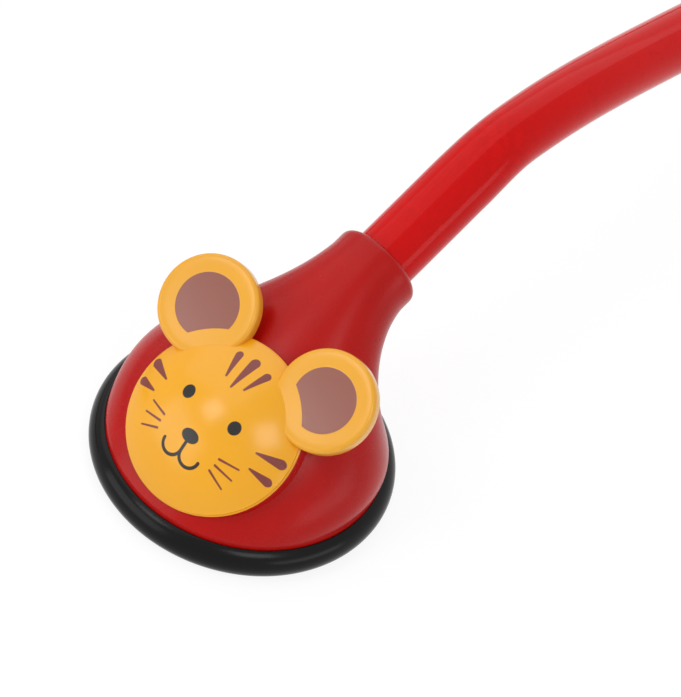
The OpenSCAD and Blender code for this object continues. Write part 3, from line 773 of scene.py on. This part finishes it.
class STETHO_OT_hose(bpy.types.Operator):
    """Lays the soft hose from the neck to the headset's yoke"""
    bl_idname = "stetho.hose"
    bl_label = "Hose"

    def execute(self, context):
        settings = context.scene.stethoscope
        hose, chest = settings.hose, settings.chest
        neck = neck_place(chest)
        start = [neck @ Vector((0, 0, out)) for out in STEM_STATIONS]
        line = smooth_line([*start, *FREE_ROUTE, *BARB_ROUTE], HOSE_STEP)
        material = hose_red(settings.finish)
        mesh = draw_tube("hose_tube", line, material, Radius=hose.diameter / 2, Swelling=hose.swelling,
                         Sides=HOSE_SIDES, Easing=hose.easing,
                         **{"Near Stem": hose.near_stem, "Far Stem": hose.far_stem})
        piece = dress("hose_tube", mesh, material, MAIN, ["hose"], 50)
        return {"FINISHED"}


class STETHO_OT_bell(bpy.types.Operator):
    """Shapes the red horn from its skirt to its collar, with the seat for the face"""
    bl_idname = "stetho.bell"
    bl_label = "Bell"

    def execute(self, context):
        settings = context.scene.stethoscope
        chest, face = settings.chest, settings.face
        bm = bmesh.new()
        skin(bm, self.rings(chest, BELL_SIDES, BELL_STATIONS))
        r, edge = face.diameter / 2, 0.0003
        seat = [(0, -face.seat_depth), (r, -face.seat_depth)]
        seat += arc((r - edge, -edge), edge, 0, 90, 5) + [(0, 0)]
        revolve(bm, seat, SEAT_SIDES, face_place(face))
        finish_piece(bm, "bell_shell", moulded_red(settings.finish), MAIN, ["bell"], 30)
        return {"FINISHED"}

    def rings(self, chest, sides, stations):
        """Closed rings of points from the skirt's foot over the collar's edge and down into the socket."""
        base = chest.ring_diameter / 2 - chest.ring_wall
        neck_r = chest.collar_diameter / 2
        e = chest.neck_elevation
        ahead, above = Vector((math.cos(e), math.sin(e))), Vector((-math.sin(e), math.cos(e)))
        end = Vector((chest.neck_back, chest.neck_height))
        begin = end - chest.collar_length * ahead

        def curve(foot, lean, rise, head, run):
            return [foot, foot + rise * Vector((math.cos(lean), math.sin(lean))), head - run * ahead, head]

        front = curve(Vector((-base, chest.shoulder)), chest.front_angle, chest.front_rise,
                      begin + neck_r * above, chest.front_run)
        back = curve(Vector((base, chest.shoulder)), chest.back_angle, chest.back_rise,
                     begin - neck_r * above, chest.back_run)
        side = [base, base + chest.side_swell, neck_r + chest.side_flare, neck_r]
        turns = [2 * math.pi * k / sides for k in range(sides)]

        def ring(middle, reach, width):
            return [Vector((width * math.sin(t), *(middle + reach * math.cos(t)))) for t in turns]

        def level(radius, height):
            return ring(Vector((0, height)), Vector((radius, 0)), radius)

        def round_neck(radius, out):
            return ring(end + out * ahead, -radius * above, radius)

        foot = chest.skirt_foot
        bevel, hair = 0.0002, 0.0001
        rings = [level(base - bevel, foot), level(base, foot + bevel),
                 level(base, 0.5 * (foot + chest.shoulder)), level(base, chest.shoulder - hair)]
        for k in range(stations + 1):
            s = k / stations
            low, high = bezier(front, s), bezier(back, s)
            rings.append(ring((low + high) / 2, (high - low) / 2, bezier(side, s)))
        soft = chest.collar_round
        rings.append(round_neck(neck_r, -(chest.collar_length + soft) / 2))
        for radius, out in arc((neck_r - soft, -soft), soft, 0, 90, COLLAR_STEPS):
            rings.append(round_neck(radius, out))
        rings += [round_neck(chest.socket + hair, 0), round_neck(chest.socket, -hair),
                  round_neck(chest.socket, -chest.socket_depth)]
        return rings


class STETHO_OT_rim_ring(bpy.types.Operator):
    """Turns the rubber ring round the bell's mouth"""
    bl_idname = "stetho.rim_ring"
    bl_label = "Rim Ring"

    def execute(self, context):
        settings = context.scene.stethoscope
        chest = settings.chest
        outer, section, ledge = chest.ring_diameter / 2, chest.ring_section, chest.ledge_thickness
        gap, nip, edge = 0.00003, 0.0001, 0.0003
        middle = (outer - section, section - chest.ring_flat)
        groove = outer - chest.ring_wall + gap
        bore = groove - chest.ledge_width
        low = math.degrees(math.asin(-middle[1] / section))
        high = math.degrees(math.acos((groove + edge - middle[0]) / section))
        profile = arc(middle, section, low, high, RING_STEPS)
        lip = profile[-1][1]
        profile += [(groove + nip, lip + gap), (groove, lip - nip), (groove, ledge), (bore + edge, ledge),
                    (bore, ledge - edge)]
        inner = math.degrees(math.acos((middle[0] - bore) / section)) - 180
        profile += arc(middle, section, inner, -180 - low, RING_FOOT_STEPS)
        bm = bmesh.new()
        revolve(bm, profile, RING_SIDES, Matrix.Identity(4), loop=True)
        finish_piece(bm, "rim_ring_rubber", rubber_black(settings.finish), MAIN, ["rim_ring"], 30)
        return {"FINISHED"}


class STETHO_OT_face_dome(bpy.types.Operator):
    """Shapes the domed face plate and lays its print"""
    bl_idname = "stetho.face_dome"
    bl_label = "Face Dome"

    def execute(self, context):
        settings = context.scene.stethoscope
        face = settings.face
        r, edge, lip = face.diameter / 2, face.dome_edge, face.lip
        cap = face.dome_height - edge
        ball = (r * r + cap * cap) / (2 * cap)
        middle = face.dome_height - ball
        reach = math.degrees(math.asin((r - lip) / ball))
        profile = [(0, face.dome_height)] + arc((0, middle), ball, 90, 90 - reach, DOME_STEPS)[1:]
        profile += [(r - lip, 0.55 * edge), (r - 0.00005, 0.5 * edge), (r, 0.42 * edge), (r, 0), (0, 0)]
        place = face_place(face)
        bm = bmesh.new()
        revolve(bm, profile, DOME_SIDES, place)
        piece = finish_piece(bm, "face_dome_print", printed_face(settings.finish, face), MAIN,
                             ["face_dome"], 40)
        flat_map(piece.data, place, face.diameter)
        return {"FINISHED"}


class STETHO_OT_face_ears(bpy.types.Operator):
    """Shapes the two ear discs with their rounded edges and printed patches"""
    bl_idname = "stetho.face_ears"
    bl_label = "Face Ears"

    def execute(self, context):
        settings = context.scene.stethoscope
        face = settings.face
        material = printed_ear(settings.finish, face)
        r, thick, soft, back = face.ear_diameter / 2, face.ear_thickness, face.ear_round, 0.0003
        profile = [(0, 0), (r - back, 0)] + arc((r - back, back), back, -90, 0, 4)[1:]
        profile += arc((r - soft, thick - soft), soft, 0, 90, 8)
        profile += [(share * r, thick - dip) for share, dip in EAR_DISH]
        for side, middle in zip(("left", "right"), ear_middles(face)):
            bm = bmesh.new()
            revolve(bm, profile, EAR_SIDES, face_place(face) @ Matrix.Translation((*middle, 0)))
            piece = finish_piece(bm, f"face_ear_{side}_print", material, MAIN,
                                 [f"face_ear_{side}"], 40)
            flat_map(piece.data, face_place(face), EAR_MAP_SPAN * face.diameter)
        return {"FINISHED"}


class STETHO_OT_yoke(bpy.types.Operator):
    """Rounds the edges of the yoke's two shells"""
    bl_idname = "stetho.yoke"
    bl_label = "Yoke"

    def execute(self, context):
        settings = context.scene.stethoscope
        weld, flat, corner = 0.000002, math.radians(1), math.radians(50)
        for part in ("lower", "upper"):
            node = f"yoke_{part}_shell"
            bm = bmesh.new()
            bm.from_mesh(frame["nodes"][node].data)
            bmesh.ops.remove_doubles(bm, verts=bm.verts, dist=weld)
            bmesh.ops.dissolve_limit(bm, angle_limit=flat, verts=bm.verts, edges=bm.edges)
            sharp = [edge for edge in bm.edges if edge.is_manifold and edge.calc_face_angle() > corner]
            bmesh.ops.bevel(bm, geom=sharp, offset=settings.headset.edge_round, segments=5, profile=0.5,
                            affect="EDGES", clamp_overlap=True)
            finish_piece(bm, node + "_rounded", moulded_red(settings.finish), MAIN, [node], 8)
        return {"FINISHED"}


class STETHO_OT_arms(bpy.types.Operator):
    """Bends the headset's arms from the pivot eyes to the ear tips"""
    bl_idname = "stetho.arms"
    bl_label = "Arms"

    def execute(self, context):
        settings = context.scene.stethoscope
        sizes = settings.headset
        material = moulded_red(settings.finish)
        for side, body in ARM_BODIES.items():
            place = arm_place(side)
            line = [place @ Vector((*point, 0)) for point in arm_course(sizes)[0]]
            mesh = draw_tube(f"{side}_arm_tube", line, material, Radius=sizes.arm_diameter / 2, Swelling=0.0,
                             Sides=ARM_SIDES, Easing=0.001, **{"Near Stem": 0.0, "Far Stem": 0.0})
            bm = bmesh.new()
            bm.from_mesh(mesh)
            bpy.data.meshes.remove(mesh)
            r, h, bore, soft = sizes.eye_diameter / 2, sizes.eye_height / 2, sizes.eye_bore / 2, 0.0005
            profile = [(bore, -h)] + arc((r - soft, soft - h), soft, -90, 0, 4)
            profile += arc((r - soft, h - soft), soft, 0, 90, 4) + [(bore, h)]
            revolve(bm, profile, PIVOT_SIDES, place, loop=True)
            finish_piece(bm, f"{side}_arm_bent", material, body, [f"{side}_arm"], 35)
        return {"FINISHED"}


def arm_course(sizes):
    """Points along an arm from inside its pivot eye to the ear tip's foot, and the heading at the end."""
    heading, inset = sizes.arm_angle, 0.003

    def ahead():
        return Vector((math.sin(heading), math.cos(heading)))

    here = sizes.root_length * ahead()
    points = [inset * ahead(), here / 2, here]
    for radius, sweep, run in ((sizes.bow_radius, sizes.arm_angle, sizes.mid_length),
                               (sizes.crook_radius, sizes.crook_angle, sizes.end_length)):
        step = sweep / ARM_BEND_STEPS
        for _ in range(ARM_BEND_STEPS):
            heading -= step / 2
            here = here + 2 * radius * math.sin(step / 2) * ahead()
            heading -= step / 2
            points.append(here)
        here = here + run * ahead()
        points.append(here)
    return points, heading


class STETHO_OT_ear_tips(bpy.types.Operator):
    """Turns the soft ear tips at the arms' ends"""
    bl_idname = "stetho.ear_tips"
    bl_label = "Ear Tips"

    def execute(self, context):
        settings = context.scene.stethoscope
        sizes = settings.headset
        points, heading = arm_course(sizes)
        r, run, hole = sizes.tip_diameter / 2, sizes.tip_length, sizes.tip_hole / 2
        outline = [(a * r, b * run) for a, b, _ in smooth_line([(*share, 0) for share in TIP_OUTLINE], 0.03)]
        inner = [(hole + 0.0002, run - 0.0001), (hole, run - 0.0004), (hole, 0.55 * run)]
        profile = [(0, 0), (outline[0][0] - 0.0002, 0)] + outline + inner + [(0, 0.55 * run)]
        for side, body in ARM_BODIES.items():
            place = (arm_place(side) @ Matrix.Translation((*points[-1], 0)) @ Matrix.Rotation(-heading, 4, "Z")
                     @ Matrix.Rotation(-math.pi / 2, 4, "X"))
            bm = bmesh.new()
            revolve(bm, profile, TIP_SIDES, place)
            finish_piece(bm, f"{side}_ear_tip_soft", rubber_black(settings.finish), body,
                         [f"{side}_ear_tip"], 45)
        return {"FINISHED"}


class STETHO_OT_small_parts(bpy.types.Operator):
    """Gives the diaphragm, stems, screws and pins their finishes"""
    bl_idname = "stetho.small_parts"
    bl_label = "Small Parts"

    def execute(self, context):
        finish = context.scene.stethoscope.finish
        white, film, steel = white_plastic(finish), diaphragm_film(finish), brushed_steel(finish)
        wear = {"diaphragm": film, "hose_spigot": white, "hose_barb": white, "face_screws": steel,
                "yoke_screws": steel, "left_pivot_pin": steel, "right_pivot_pin": steel}
        for node, material in wear.items():
            for slot in frame["nodes"][node].material_slots:
                slot.material = material
        return {"FINISHED"}


class STETHO_PT_panel(bpy.types.Panel):
    """Lists the stethoscope's pieces in the order in which they are made"""
    bl_idname = "STETHO_PT_panel"
    bl_label = "Stethoscope"
    bl_space_type = "VIEW_3D"
    bl_region_type = "UI"
    bl_category = "Stethoscope"

    def draw(self, context):
        for operator in OPERATORS:
            self.layout.operator(operator.bl_idname)


OPERATORS = (STETHO_OT_stage, STETHO_OT_hose, STETHO_OT_bell, STETHO_OT_rim_ring, STETHO_OT_face_dome,
             STETHO_OT_face_ears, STETHO_OT_yoke, STETHO_OT_arms, STETHO_OT_ear_tips, STETHO_OT_small_parts)
CLASSES = (ChestPieceSizes, FaceSizes, HoseSizes, HeadsetSizes, FinishColours, StageSettings,
           StethoscopeSettings, *OPERATORS, STETHO_PT_panel)


def register():
    for cls in CLASSES:
        bpy.utils.register_class(cls)
    bpy.types.Scene.stethoscope = PointerProperty(type=StethoscopeSettings)


def unregister():
    del bpy.types.Scene.stethoscope
    for cls in reversed(CLASSES):
        bpy.utils.unregister_class(cls)


def main():
    register()
    bpy.ops.stetho.stage()
    bpy.ops.stetho.hose()
    bpy.ops.stetho.bell()
    bpy.ops.stetho.rim_ring()
    bpy.ops.stetho.face_dome()
    bpy.ops.stetho.face_ears()
    bpy.ops.stetho.yoke()
    bpy.ops.stetho.arms()
    bpy.ops.stetho.ear_tips()
    bpy.ops.stetho.small_parts()


if __name__ == "__main__":
    main()
